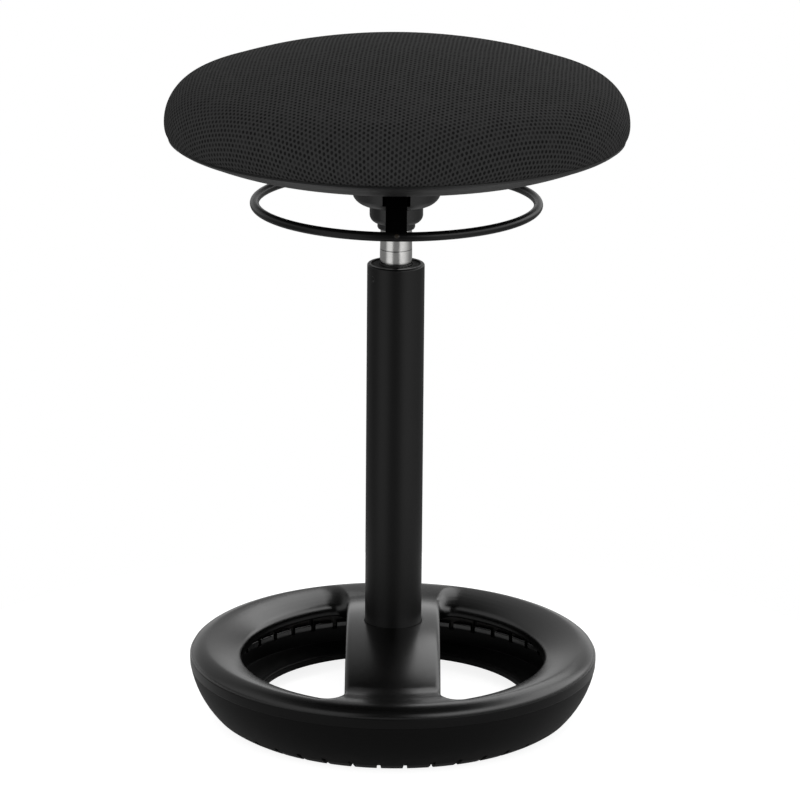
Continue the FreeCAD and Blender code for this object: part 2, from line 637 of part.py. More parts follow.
cheek_outline = [
    ("-pivot_reach - pivot_radius - 3", "mount_rise"),
    ("-pivot_reach - pivot_radius - 3", "mount_rise - 9"),
    ("-pivot_reach + 2", "strap_rise - 8"),
    ("-10", "2.2"),
    ("10", "2.2"),
    ("20", "strap_rise - 8"),
    ("20", "mount_rise"),
]
for side, name in ((1, "right"), (-1, "left")):
    cheek = socket.newObject("PartDesign::Pad", "cheek_" + name)
    shift = CHEEK_IN if side > 0 else "-1 * (%s)" % CHEEK_IN
    cheek.Profile = outline(socket, "cheek_section_" + name, "YZ_Plane", cheek_outline, shift)
    cheek.setExpression("Length", bound("cheek_thick"))
    cheek.Reversed = side < 0
doc.recompute()
drilled(socket, "cheek_bore", "YZ_Plane", [("-pivot_reach", PIVOT_RISE)], "pivot_radius + run_gap",
        "-1 * (%s) - 1" % CHEEK_OUT, "2 * (%s) + 2" % CHEEK_OUT, reverse=True)

pin = new_body("hinge_pin", RING)
drilled(pin, "pin_shank", "YZ_Plane", [("-pivot_reach", PIVOT_RISE)], "pivot_radius", "-1 * (%s)" % CHEEK_OUT,
        "2 * (%s)" % CHEEK_OUT, "PartDesign::Pad")
for side, name in ((1, "right"), (-1, "left")):
    start = CHEEK_OUT if side > 0 else "-1 * (%s)" % CHEEK_OUT
    drilled(pin, "pin_head_" + name, "YZ_Plane", [("-pivot_reach", PIVOT_RISE)], EYE_OUT, start, "1.6",
            "PartDesign::Pad", reverse=side < 0)

cover = new_body("mount_cover", RING)
turned(cover, "cover_turn", [
    ("cyl_radius + socket_wall - 0.5 + set_gap", "-socket_drop + 5", "7.5", 1),
    ("cover_step", "-socket_drop + 11.8"),
    ("cover_step", "-1.3"),
    ("cover_step + 3", "-0.7", "13.5", 1),
    ("cover_brim", "6.2"),
    ("cover_mouth", "mount_rise"),
    ("cover_mouth - cover_wall", "mount_rise"),
    ("cover_brim - cover_wall", "7", "11.3", -1),
    ("cover_step + 3", "1.6"),
    ("cover_step - cover_wall", "1"),
    ("cover_step - cover_wall", "-socket_drop + 12.2"),
    ("cyl_radius + socket_wall - 0.5 + set_gap", "-socket_drop + 7.2"),
])
slab(cover, "strap_window", "XZ_Plane", box_corners(
    "-strap_width / 2 - 3", "5", "strap_width / 2 + 3", "mount_rise + 1"),
    "3 * cover_mouth", "PartDesign::Pocket")

strap = new_body("lever_strap", RING)
FOOT_RISE = "-strap_thick / 2"
slab(strap, "strap_bar", "YZ_Plane", [
    ("-ring_radius", FOOT_RISE),
    ("-strap_flat - 4", "strap_rise"),
    ("strap_flat + 4", "strap_rise"),
    ("ring_radius", FOOT_RISE),
    ("ring_radius", plus(FOOT_RISE, "strap_thick * 1.02")),
    ("strap_flat + 4 + strap_thick * 0.12", "strap_rise + strap_thick"),
    ("-strap_flat - 4 - strap_thick * 0.12", "strap_rise + strap_thick"),
    ("-ring_radius", plus(FOOT_RISE, "strap_thick * 1.02")),
], "strap_width")
drilled(strap, "strap_eye", "YZ_Plane", [("-pivot_reach", PIVOT_RISE)], EYE_OUT,
        "-1 * (%s) + set_gap" % CHEEK_IN, "2 * (%s) - 2 * set_gap" % CHEEK_IN, "PartDesign::Pad")
drilled(strap, "eye_bore", "YZ_Plane", [("-pivot_reach", PIVOT_RISE)], "pivot_radius + run_gap",
        "-1 * (%s)" % CHEEK_IN, "2 * (%s)" % CHEEK_IN, reverse=True)
trim = strap.newObject("PartDesign::SubtractiveTorus", "ring_seat")
trim.setExpression("Radius1", bound("ring_radius"))
trim.setExpression("Radius2", bound("ring_rod + run_gap"))

hoop = doc.addObject("Part::Torus", "hand_ring")
hoop.Label = "hand_ring"
hoop.setExpression("Radius1", bound("ring_radius"))
hoop.setExpression("Radius2", bound("ring_rod"))
hoop.setExpression("Placement.Base.z", bound(RING))

plate = new_body("mount_plate", RING)
sheet_pad = plate.newObject("PartDesign::Pad", "plate_pad")
sheet_pad.Profile = outline(plate, "plate_outline", "XY_Plane", [
    ("-mount_half + 14", "-mount_half"),
    ("mount_half - 14", "-mount_half", "14", 1),
    ("mount_half", "-mount_half + 14"),
    ("mount_half", "mount_half - 14", "14", 1),
    ("mount_half - 14", "mount_half"),
    ("-mount_half + 14", "mount_half", "14", 1),
    ("-mount_half", "mount_half - 14"),
    ("-mount_half", "-mount_half + 14", "14", 1),
], "mount_rise")
sheet_pad.setExpression("Length", bound("mount_thick"))
SPOTS = [("bolt_half", "bolt_half"), ("-bolt_half", "bolt_half"), ("-bolt_half", "-bolt_half"),
         ("bolt_half", "-bolt_half")]
drilled(plate, "plate_holes", "XY_Plane", SPOTS, "bolt_radius + set_gap", "mount_rise - 1", "mount_thick + 2",
        reverse=True)

# Seat shell and upholstery
PAN_FOOT = plus("mount_rise", "mount_thick")
CLOTH_FOOT = plus("seam_rise", "set_gap")
BOARD_FOOT = plus(CLOTH_FOOT, "cloth")
BOARD_TOP = plus(BOARD_FOOT, "board_thick")
pan = new_body("seat_pan", RING)
turned(pan, "pan_turn", [
    (0, PAN_FOOT),
    ("pan_flat", PAN_FOOT, "420", 1),
    ("pan_radius - 37", "seam_rise - 16.8", "200", 1),
    ("pan_radius - 11", "seam_rise - 7.2", "30", 1),
    ("pan_radius", "seam_rise - 1.5"),
    ("pan_radius - 0.3", "seam_rise"),
    ("pan_radius - pan_wall - 12", "seam_rise"),
    ("pan_radius - pan_wall - 13", "seam_rise - 3"),
    ("pan_radius - 37", plus("seam_rise - 16.8", "pan_wall"), "420", -1),
    ("pan_flat", plus(PAN_FOOT, "pan_wall")),
    (0, plus(PAN_FOOT, "pan_wall")),
])
drilled(pan, "pan_posts", "XY_Plane", SPOTS, "bolt_radius + 6", plus(PAN_FOOT, "pan_wall / 2"),
        less(BOARD_FOOT, PAN_FOOT, "pan_wall / 2"), "PartDesign::Pad")
doc.recompute()
drilled(pan, "pan_holes", "XY_Plane", SPOTS, "bolt_radius + set_gap", less(PAN_FOOT, "1"),
        plus(less(BOARD_FOOT, PAN_FOOT), "2"), reverse=True)

board = turned_part("seat_board", box_corners(0, BOARD_FOOT, "board_radius", BOARD_TOP), RING)
drilled(board, "board_holes", "XY_Plane", SPOTS, "bolt_radius + 1 + set_gap", less(BOARD_FOOT, "1"),
        "board_thick + 2", reverse=True)
drilled(board, "board_sinks", "XY_Plane", SPOTS, "bolt_radius * 2.5 + set_gap", less(BOARD_TOP, "1.7"), "3",
        reverse=True)

nuts = new_body("tee_nuts", RING)
drilled(nuts, "nut_barrels", "XY_Plane", SPOTS, "bolt_radius + 1", plus(BOARD_FOOT, "0.5"),
        "board_thick - 2.2", "PartDesign::Pad")
drilled(nuts, "nut_flanges", "XY_Plane", SPOTS, "bolt_radius * 2.5", less(BOARD_TOP, "1.7"), "1.5",
        "PartDesign::Pad")
doc.recompute()
drilled(nuts, "nut_bores", "XY_Plane", SPOTS, "bolt_radius + run_gap", BOARD_FOOT, "board_thick + 1",
        reverse=True)

bolts = new_body("seat_bolts", RING)
drilled(bolts, "bolt_shanks", "XY_Plane", SPOTS, "bolt_radius", "mount_rise",
        less(BOARD_TOP, "mount_rise", "1"), "PartDesign::Pad")
drilled(bolts, "bolt_heads", "XY_Plane", SPOTS, "bolt_head", "mount_rise", "5", "PartDesign::Pad",
        reverse=True)

FOAM_EDGE = "seat_radius - cloth"
turned_part("seat_foam", [
    (0, BOARD_TOP),
    ("board_radius", BOARD_TOP),
    ("board_radius", BOARD_FOOT),
    ("seat_radius - 3 - cloth", BOARD_FOOT, "25", 1),
    (FOAM_EDGE, "seat_widest", "edge_bulge - cloth", 1),
    ("shoulder_radius - cloth * 0.19", "shoulder_rise - cloth * 0.98", "axis", 1),
    (0, "seat_crown - cloth"),
], RING)
turned_part("seat_cover", [
    ("board_radius - 16", CLOTH_FOOT),
    ("seat_radius - 3.2", CLOTH_FOOT, "27", 1),
    ("seat_radius", "seat_widest", "edge_bulge", 1),
    ("shoulder_radius", "shoulder_rise", "axis", 1),
    (0, "seat_crown"),
    (0, "seat_crown - cloth", "axis", -1),
    ("shoulder_radius - cloth * 0.19", "shoulder_rise - cloth * 0.98", "edge_bulge - cloth", -1),
    (FOAM_EDGE, "seat_widest", "25", -1),
    ("seat_radius - 3 - cloth", BOARD_FOOT),
    ("board_radius - 16", BOARD_FOOT),
], RING)

doc.recompute()

NODES = (
    "base_frame", "base_bowl", "tread_ring", "ballast_ring", "base_screws", "column_tube", "tube_end_plate",
    "lower_race", "ball_cage", "bearing_balls", "guide_bush", "upper_race", "end_bumper", "rod_clip",
    "piston_rod", "piston", "gas_cylinder", "rod_guide", "valve_body", "valve_pin", "mount_socket",
    "hinge_pin", "mount_cover", "lever_strap", "hand_ring", "mount_plate", "seat_pan", "seat_board",
    "tee_nuts", "seat_bolts", "seat_foam", "seat_cover",
)
for item in doc.Objects:
    if "Invalid" in item.State or "Error" in item.State:
        raise RuntimeError("%s did not build: %s" % (item.Name, item.State))
os.makedirs("parts", exist_ok=True)
for label in NODES:
    shape = doc.getObjectsByLabel(label)[0].Shape
    if shape.isNull() or not shape.isValid():
        raise RuntimeError(label + " has no valid shape")
    shape.exportStep("parts/%s.step" % label)
    print(label, len(shape.Solids), round(shape.Volume), shape.BoundBox)
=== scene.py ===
import math

import bmesh
import bpy
import numpy as np
from bpy.props import FloatProperty, FloatVectorProperty, IntProperty, PointerProperty
from mathutils import Matrix, Vector


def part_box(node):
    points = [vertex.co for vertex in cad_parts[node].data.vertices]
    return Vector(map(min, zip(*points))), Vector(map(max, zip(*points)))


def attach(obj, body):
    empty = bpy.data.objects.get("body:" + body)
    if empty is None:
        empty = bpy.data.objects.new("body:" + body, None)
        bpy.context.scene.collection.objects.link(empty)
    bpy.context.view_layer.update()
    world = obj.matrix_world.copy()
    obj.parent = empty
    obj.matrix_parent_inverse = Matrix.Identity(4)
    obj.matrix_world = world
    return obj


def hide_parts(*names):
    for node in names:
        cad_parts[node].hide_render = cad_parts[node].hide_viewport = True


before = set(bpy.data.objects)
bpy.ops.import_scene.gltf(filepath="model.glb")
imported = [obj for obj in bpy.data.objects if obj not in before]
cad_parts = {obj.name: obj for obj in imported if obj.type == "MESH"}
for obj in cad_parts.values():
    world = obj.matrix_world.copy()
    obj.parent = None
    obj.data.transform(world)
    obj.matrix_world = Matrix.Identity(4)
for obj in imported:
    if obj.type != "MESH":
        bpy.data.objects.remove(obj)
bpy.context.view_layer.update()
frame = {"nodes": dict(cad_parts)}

bl_info = {
    "name": "Rocking stool finishes",
    "version": (1, 0, 0),
    "blender": (4, 5, 0),
    "location": "3D View > Sidebar > Stool",
    "description": "Finishes, padded seat and studio for a height-adjustable rocking stool",
    "category": "Object",
}

# Places and sizes in metres, in the frame's axes

SEAT_LOW, SEAT_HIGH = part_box("seat_cover")
BOARD_LOW, BOARD_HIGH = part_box("seat_board")
CYLINDER_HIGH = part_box("gas_cylinder")[1]
CONE_LENGTH = 0.0543
TEETH_TOP = 0.037
TUBE_DIMPLE = (-0.0200, -0.0150, 0.4000)
RING_WELD = (0.0005, -0.1262, 0.4655)

# Seat mesh: swell above the CAD cover, bands above the hem, clearances, and points on each arc of the section

DOME_LIFT = 0.0012
SETTLE_BAND = 0.04
HELD_BAND = 0.008
SEAM_GAP = 0.0002
BOARD_GAP = 0.0001
LEAST_MOVE = 1e-9
TUCK_BULGE = 1.05
DOME_STEPS, EDGE_STEPS, HEM_STEPS, TUCK_STEPS = 60, 30, 12, 6
CLOTH_LAYER = "cloth"

# Camera and floor

SENSOR_WIDTH = 36.0
VIEW_DEPTH = 50.0
FLOOR_SIDES = 96
FLOOR_RIM = 0.03
WHITE = (1.0, 1.0, 1.0, 1.0)


def length(name, description, default):
    return FloatProperty(name=name, description=description, default=default, unit="LENGTH", precision=5)


def place(name, description, default):
    return FloatVectorProperty(name=name, description=description, default=default, subtype="TRANSLATION",
                               unit="LENGTH", size=3)


def colour(name, description, default):
    return FloatVectorProperty(name=name, description=description, default=default, subtype="COLOR", size=3,
                               min=0.0, max=1.0)


def angle(name, description, degrees):
    return FloatProperty(name=name, description=description, default=math.radians(degrees), subtype="ANGLE")


class StoolSeatSettings(bpy.types.PropertyGroup):
    """Sizes of the padded seat and its mesh fabric."""
    radius: length("Radius", "Largest radius of the seat", SEAT_HIGH.x)
    crown: length("Crown", "Top of the dome above the floor", SEAT_HIGH.z + DOME_LIFT)
    hem: length("Hem", "Lower edge of the fabric above the floor", SEAT_LOW.z)
    hem_inset: length("Hem Inset", "Lower edge of the fabric inside the largest radius", 0.0018)
    tuck: length("Tuck", "Rounding of the fabric into the seam", 0.0016)
    widest_rise: length("Widest Rise", "Largest radius above the hem", 0.0125)
    shoulder_inset: length("Shoulder Inset", "Where the dome ends, inside the largest radius", 0.0326)
    shoulder_lift: length("Shoulder Lift", "Height of that point above the largest radius", 0.0388)
    edge_bulge: length("Edge Bulge", "Arc radius of the rolled edge", 0.0396)
    hem_bulge: length("Hem Bulge", "Arc radius between the largest radius and the hem", 0.027)
    turn_under: length("Turn Under", "Width of the fabric turned under the board", 0.016)
    slack: length("Slack", "How far the foam starts inside the finished skin", 0.0015)
    swell_limit: length("Swell Limit", "Most that a point of the skin may move", 0.003)
    pressure: FloatProperty(name="Pressure", description="Foam pressure on the fabric", default=4.0)
    frames: IntProperty(name="Frames", description="Steps of the fabric simulation", default=20)
    cells: IntProperty(name="Cells", description="Cells across the middle of the dome", default=48)
    pitch_across: length("Pitch Across", "Hole columns of the mesh fabric, one to the next", 0.00358)
    pitch_along: length("Pitch Along", "Holes along one column of the mesh fabric", 0.0051)
    bias: angle("Bias", "Turn of the fabric's columns from front to back", 3.0)
    yarn: colour("Yarn", "Colour of the mesh yarn", (0.0375, 0.0375, 0.0375))
    # Painted shade: the colour deep in the fabric's holes, darker than the yarn.
    depth: colour("Depth", "Colour at the bottom of a hole", (0.009, 0.009, 0.009))


class StoolFinishSettings(bpy.types.PropertyGroup):
    """Colours of the rigid pieces."""
    frame: colour("Base Frame", "Satin plastic of the base's top", (0.0015, 0.0015, 0.0014))
    bowl: colour("Base Bowl", "Satin plastic of the base's lower half", (0.0030, 0.0030, 0.0030))
    tread: colour("Tread", "Rubber of the tread", (0.0035, 0.0035, 0.0035))
    column: colour("Column", "Powder coat of the column", (0.0035, 0.0035, 0.0035))
    dimple: colour("Dimple", "Shadowed bottom of the dimple in the column", (0.0005, 0.0005, 0.0005))
    lever: colour("Hand Ring", "Powder coat of the hand ring", (0.0035, 0.0035, 0.0035))
    # A painted highlight: the weld spot's lighter colour stands in for the glint there.
    weld: colour("Weld", "Weld spot where the strap meets the hand ring", (0.030, 0.024, 0.018))
    # Painted shade: the strap's coat is much darker than the hand ring's, for the shade it lies in under the
    # seat.
    strap: colour("Strap", "Powder coat of the strap", (0.0008, 0.0008, 0.0008))
    mount: colour("Mount", "Powder coat of the seat mount", (0.006, 0.006, 0.006))
    cover: colour("Mount Cover", "Satin plastic of the stepped cover", (0.006, 0.006, 0.006))
    pan: colour("Seat Pan", "Satin plastic under the seat", (0.0045, 0.0045, 0.0045))
    bush: colour("Guide Bush", "Plastic sleeve in the column", (0.004, 0.004, 0.004))
    chrome: colour("Chrome", "Plated cylinder and rod", (0.74, 0.735, 0.72))
    zinc: colour("Zinc", "Plated fixings", (0.56, 0.56, 0.55))
    # Painted shade: the base screws are zinc like the other fixings, coloured near black for the shade inside
    # the base.
    screw: colour("Screw", "Black zinc of the base screws", (0.012, 0.012, 0.012))
    iron: colour("Ballast", "Cast iron in the base", (0.09, 0.088, 0.085))
    ply: colour("Ply", "Face veneer of the seat board", (0.50, 0.36, 0.21))


class StoolStageSettings(bpy.types.PropertyGroup):
    """Camera, floor and light."""
    lens: FloatProperty(name="Lens", description="Focal length on the camera's sensor", default=206.77,
                        unit="CAMERA")
    distance: length("Distance", "Camera in front of the column", 3.86486)
    height: length("Height", "Camera above the floor", 1.3853)
    pitch: angle("Pitch", "Camera below level", 15.863)
    yaw: angle("Yaw", "Camera to the right", 0.0665)
    roll: angle("Roll", "Turn of the picture", 0.480)
    floor_radius: length("Floor Radius", "Radius of the pale floor", 0.46)
    floor_drop: length("Floor Drop", "Floor below the tread, so that the two do not share a plane", 0.0002)
    floor: colour("Floor", "Colour of the floor", (0.45, 0.45, 0.45))
    floor_white: FloatProperty(name="Floor White", description="Light that the camera sees on the floor",
                               default=0.87)
    floor_mirror: FloatProperty(name="Floor Mirror", description="Light that reflections see on the floor",
                                default=0.2)
    fill: FloatProperty(name="Fill", description="Even light on matt surfaces", default=0.8)
    key_power: FloatProperty(name="Key Power", description="Soft box behind the stool", default=10.0,
                             unit="POWER")
    key_place: place("Key Place", "Middle of the soft box", (0.68, 1.66, 1.85))
    key_aim: place("Key Aim", "Point that the soft box faces", (0.0, 0.0, 0.08))
    key_size: length("Key Size", "Side of the square soft box", 1.3)


# Shader trees


def put(tree, kind, inputs=None, **settings):
    """A shader node with its settings; an input is a plain value or a socket to link."""
    made = tree.nodes.new("ShaderNode" + kind)
    for name, setting in settings.items():
        setattr(made, name, setting)
    for name, given in (inputs or {}).items():
        if isinstance(given, bpy.types.NodeSocket):
            tree.links.new(given, made.inputs[name])
        else:
            made.inputs[name].default_value = given
    return made


def calc(tree, operation, *terms, clamp=False):
    return put(tree, "Math", dict(enumerate(terms)), operation=operation, use_clamp=clamp).outputs[0]


def vector_calc(tree, operation, *terms):
    made = put(tree, "VectorMath", dict(enumerate(terms)), operation=operation)
    return made.outputs["Value" if operation in ("LENGTH", "DISTANCE") else "Vector"]


def scaled(tree, vector, factor):
    return put(tree, "VectorMath", {0: vector, "Scale": factor}, operation="SCALE").outputs["Vector"]


def split(tree, vector):
    return put(tree, "SeparateXYZ", {0: vector}).outputs


def product(tree, first, *others):
    for other in others:
        first = calc(tree, "MULTIPLY", first, other)
    return first


def between(tree, signal, low, high):
    """A signal of 0 to 1 laid over the range from low to high."""
    return calc(tree, "MULTIPLY_ADD", signal, high - low, low)


def varied(tree, level, signal, swing):
    """A level that a signal of 0 to 1 moves by half the swing either way."""
    return calc(tree, "MULTIPLY_ADD", calc(tree, "SUBTRACT", signal, 0.5), swing, level)


def raised(tree, level, signal, rise):
    """A level with a scaled signal added to it."""
    return calc(tree, "MULTIPLY_ADD", signal, rise, level)


def ramp(tree, given, low, high, to_low=0.0, to_high=1.0):
    """A smooth step from one value to another."""
    return put(tree, "MapRange", {"Value": given, "From Min": low, "From Max": high, "To Min": to_low,
                                  "To Max": to_high}, interpolation_type="SMOOTHSTEP").outputs["Result"]


def blend_colour(tree, factor, first, second):
    return put(tree, "Mix", {0: factor, 6: first, 7: second}, data_type="RGBA").outputs[2]


def noise(tree, spot, scale, detail=2.0, rough=0.5):
    made = put(tree, "TexNoise", {"Vector": spot, "Scale": scale, "Detail": detail, "Roughness": rough})
    return made.outputs[0]


# Shared skins

SKIN_OUTPUTS = (("Colour", "Color"), ("Roughness", "Float"), ("Height", "Float"))


def new_group(name, inputs, outputs=SKIN_OUTPUTS):
    """An empty shader group, its input sockets by name and its output sockets by name."""
    tree = bpy.data.node_groups.new(name, "ShaderNodeTree")
    for label, kind, default in inputs:
        socket = tree.interface.new_socket(label, in_out="INPUT", socket_type="NodeSocket" + kind)
        if default is not None:
            socket.default_value = default
    for label, kind in outputs:
        tree.interface.new_socket(label, in_out="OUTPUT", socket_type="NodeSocket" + kind)
    return tree, tree.nodes.new("NodeGroupInput").outputs, tree.nodes.new("NodeGroupOutput").inputs


def send(tree, out, **signals):
    """Links signals to the group's outputs of the same names."""
    for label, signal in signals.items():
        tree.links.new(signal, out[label])


def build_moulded_skin(name):
    """Spark-eroded grain of moulded plastic, with faint clouds in gloss and tone.

    Edges at the height of Crest that lie within Crest Reach of the axis are sloped and polished over
    Crest Run. The default height is above any part, so a skin has no crest unless it asks for one.
    """
    tree, given, out = new_group(
        name,
        (("Place", "Vector", None), ("Colour", "Color", (0.01, 0.01, 0.01, 1)), ("Roughness", "Float", 0.4),
         ("Grain", "Float", 1800.0), ("Cloud", "Float", 16.0), ("Crest", "Float", 10.0),
         ("Crest Run", "Float", 0.006), ("Crest Reach", "Float", 0.1485), ("Crest Relief", "Float", 0.0)),
        (*SKIN_OUTPUTS, ("Polish", "Float")))
    grain = noise(tree, given["Place"], given["Grain"], detail=3.0, rough=0.6)
    pit_scale = calc(tree, "MULTIPLY", given["Grain"], 0.55)
    pits = put(tree, "TexVoronoi", {"Vector": given["Place"], "Scale": pit_scale}, feature="SMOOTH_F1")
    cloud = noise(tree, given["Place"], given["Cloud"], detail=4.0, rough=0.6)
    height = split(tree, given["Place"])[2]
    start = calc(tree, "SUBTRACT", given["Crest"], given["Crest Run"])
    climb = calc(tree, "DIVIDE", calc(tree, "SUBTRACT", height, start), given["Crest Run"], clamp=True)
    off_axis = vector_calc(tree, "LENGTH", vector_calc(tree, "MULTIPLY", given["Place"], (1.0, 1.0, 0.0)))
    inside = calc(tree, "LESS_THAN", off_axis, given["Crest Reach"])
    fall = calc(tree, "MULTIPLY", climb, calc(tree, "MULTIPLY", inside, given["Crest Relief"]))
    gloss = varied(tree, given["Roughness"], cloud, swing=0.14)
    send(tree, out,
         Colour=scaled(tree, given["Colour"], between(tree, cloud, 0.75, 1.25)),
         Roughness=varied(tree, gloss, grain, swing=0.08),
         Height=calc(tree, "SUBTRACT", raised(tree, grain, pits.outputs["Distance"], rise=0.5), fall),
         Polish=calc(tree, "MULTIPLY", ramp(tree, climb, low=0.0, high=0.3), inside))
    return tree


def build_powder_coat(name):
    """Orange peel of baked powder, with fine specks in its gloss and one small mark whose colour is painted
    light: painted shade in a dimple, a painted highlight on a weld.
    """
    tree, given, out = new_group(
        name,
        (("Place", "Vector", None), ("Colour", "Color", (0.01, 0.01, 0.01, 1)), ("Roughness", "Float", 0.35),
         ("Peel", "Float", 420.0), ("Mark", "Vector", (0.0, 0.0, -1.0)), ("Mark Size", "Float", 0.0025),
         ("Mark Painted Light", "Color", (0.01, 0.01, 0.01, 1)), ("Mark Rise", "Float", 0.0)))
    peel = noise(tree, given["Place"], given["Peel"], detail=1.5, rough=0.4)
    speck = noise(tree, given["Place"], calc(tree, "MULTIPLY", given["Peel"], 6.0), detail=1.0)
    cloud = noise(tree, given["Place"], scale=9.0, detail=3.0)
    off_mark = vector_calc(tree, "DISTANCE", given["Place"], given["Mark"])
    mark = ramp(tree, calc(tree, "DIVIDE", off_mark, given["Mark Size"]), low=1.0, high=0.4)
    coat = scaled(tree, given["Colour"], between(tree, cloud, 0.75, 1.25))
    gloss = varied(tree, given["Roughness"], speck, swing=0.10)
    send(tree, out,
         Colour=blend_colour(tree, mark, coat, given["Mark Painted Light"]),
         Roughness=varied(tree, gloss, cloud, swing=0.08),
         Height=raised(tree, raised(tree, peel, speck, rise=0.12), mark, given["Mark Rise"]))
    return tree


def build_turned_metal(name):
    """Fine rings left by grinding round the upright axis, faint smears and one turned line, a shallow groove
    whose darker colour is painted shade.
    """
    tree, given, out = new_group(
        name,
        (("Place", "Vector", None), ("Colour", "Color", (0.7, 0.7, 0.7, 1)), ("Roughness", "Float", 0.15),
         ("Rings", "Float", 5000.0), ("Line Height", "Float", -1.0)))
    stretched = vector_calc(tree, "MULTIPLY", given["Place"], (0.01, 0.01, 1.0))
    rings = noise(tree, stretched, given["Rings"], rough=0.7)
    smear = noise(tree, given["Place"], scale=170.0, detail=4.0, rough=0.6)
    height = split(tree, given["Place"])[2]
    off_line = calc(tree, "ABSOLUTE", calc(tree, "SUBTRACT", height, given["Line Height"]))
    clear = ramp(tree, off_line, low=0.0002, high=0.0007)
    # Darker along the turned line: painted shade in its groove; the smears are the metal's own tone.
    tone = calc(tree, "MULTIPLY", between(tree, smear, 0.78, 1.23), between(tree, clear, 0.4, 1.0))
    gloss = varied(tree, given["Roughness"], rings, swing=0.16)
    send(tree, out,
         Colour=scaled(tree, given["Colour"], tone),
         Roughness=varied(tree, gloss, smear, swing=0.18),
         Height=raised(tree, rings, clear, rise=3.0))
    return tree


def build_floor_scuff(name):
    """Dust and scuffs that fade out above the floor."""
    tree, given, out = new_group(
        name,
        (("Place", "Vector", None), ("Colour", "Color", (0.01, 0.01, 0.01, 1)),
         ("Dust", "Color", (0.05, 0.048, 0.045, 1)), ("Roughness", "Float", 0.6), ("Reach", "Float", 0.03),
         ("Amount", "Float", 0.4)))
    height = split(tree, given["Place"])[2]
    near = calc(tree, "SUBTRACT", 1.0, calc(tree, "DIVIDE", height, given["Reach"]), clamp=True)
    worn = noise(tree, given["Place"], scale=60.0, detail=5.0, rough=0.65)
    patch = ramp(tree, worn, low=0.4, high=0.75)
    mask = product(tree, near, patch, given["Amount"])
    fine = noise(tree, given["Place"], scale=900.0, detail=3.0, rough=0.6)
    rubber = scaled(tree, given["Colour"], between(tree, fine, 0.75, 1.25))
    gloss = varied(tree, given["Roughness"], fine, swing=0.12)
    send(tree, out,
         Colour=blend_colour(tree, mask, rubber, given["Dust"]),
         Roughness=raised(tree, gloss, mask, rise=0.35),
         Height=raised(tree, fine, patch, rise=0.3))
    return tree


def build_mesh_weave(name):
    """Knitted mesh with staggered holes darkened by painted shade; Place is the cloth's own flat place, in
    metres.

    Holes sit on two grids, half a cell apart, both shifted to where every cell number is positive.
    Each hole is filled by a chance of its own, so that some look shallower, with less painted shade, than
    others.
    """
    grid_shifts = ((100.0, 100.0, 0.0), (100.5, 100.5, 0.0))
    cell_middle = (0.5, 0.5, 0.0)
    hole_shape = (4.9, 2.5, 0.0)
    strand_scale = (3200.0, 1400.0, 1.0)
    most_fill = 0.4
    most_sway = 0.0016
    tree, given, out = new_group(
        name,
        (("Place", "Vector", None), ("Yarn", "Color", (0.03, 0.03, 0.03, 1)),
         ("Depth", "Color", (0.004, 0.004, 0.004, 1)), ("Across", "Float", 0.0036), ("Along", "Float", 0.005),
         ("Bias", "Float", 0.05)))
    turn = put(tree, "VectorRotate", {"Vector": given["Place"], "Angle": given["Bias"]},
               rotation_type="Z_AXIS")
    drift = put(tree, "TexNoise", {"Vector": given["Place"], "Scale": 22.0, "Detail": 1.0}).outputs["Color"]
    sway = scaled(tree, vector_calc(tree, "SUBTRACT", drift, (0.5, 0.5, 0.5)), most_sway)
    cloth = vector_calc(tree, "ADD", turn.outputs[0], sway)
    cell_width = calc(tree, "MULTIPLY", given["Across"], 2.0)
    cell = put(tree, "CombineXYZ", {0: cell_width, 1: given["Along"], 2: 1.0}).outputs[0]
    grid = vector_calc(tree, "DIVIDE", cloth, cell)
    walls = []
    for shift in grid_shifts:
        placed = vector_calc(tree, "ADD", grid, shift)
        centred = vector_calc(tree, "SUBTRACT", vector_calc(tree, "FRACTION", placed), cell_middle)
        off_hole = vector_calc(tree, "LENGTH", vector_calc(tree, "MULTIPLY", centred, hole_shape))
        number = vector_calc(tree, "FLOOR", placed)
        chance = put(tree, "TexWhiteNoise", {"Vector": number}, noise_dimensions="2D").outputs["Value"]
        fill = calc(tree, "MULTIPLY", calc(tree, "POWER", chance, 2.0), most_fill)
        walls.append(ramp(tree, off_hole, low=0.45, high=1.0, to_low=fill))
    wall = calc(tree, "MINIMUM", *walls)
    strand = noise(tree, vector_calc(tree, "MULTIPLY", cloth, strand_scale), scale=1.0, rough=0.6)
    cloud = noise(tree, given["Place"], scale=30.0, detail=3.0, rough=0.55)
    tone = calc(tree, "MULTIPLY", between(tree, strand, 0.62, 1.32), between(tree, cloud, 0.92, 1.08))
    lit = scaled(tree, given["Yarn"], tone)
    # The holes take the Hole Shade colour, painted shade in each hole; the yarn keeps its own colour.
    send(tree, out,
         Colour=blend_colour(tree, wall, given["Depth"], lit),
         Roughness=raised(tree, between(tree, wall, 0.98, 0.88), strand, rise=-0.16),
         Height=raised(tree, wall, strand, rise=0.22))
    return tree


def build_ply_veneer(name):
    """Rotary-cut veneer above darker glue lines."""
    tree, given, out = new_group(
        name,
        (("Place", "Vector", None), ("Colour", "Color", (0.5, 0.36, 0.2, 1)), ("Layer", "Float", 0.0017)))
    layer = calc(tree, "PINGPONG", split(tree, given["Place"])[2], given["Layer"])
    glue = ramp(tree, layer, low=0.0, high=0.0003, to_low=0.55)
    stretched = vector_calc(tree, "MULTIPLY", given["Place"], (9.0, 1.0, 9.0))
    figure = noise(tree, stretched, scale=14.0, detail=6.0, rough=0.62)
    tone = calc(tree, "MULTIPLY", glue, between(tree, figure, 0.7, 1.3))
    send(tree, out,
         Colour=scaled(tree, given["Colour"], tone),
         Roughness=between(tree, figure, 0.5, 0.7),
         Height=figure)
    return tree


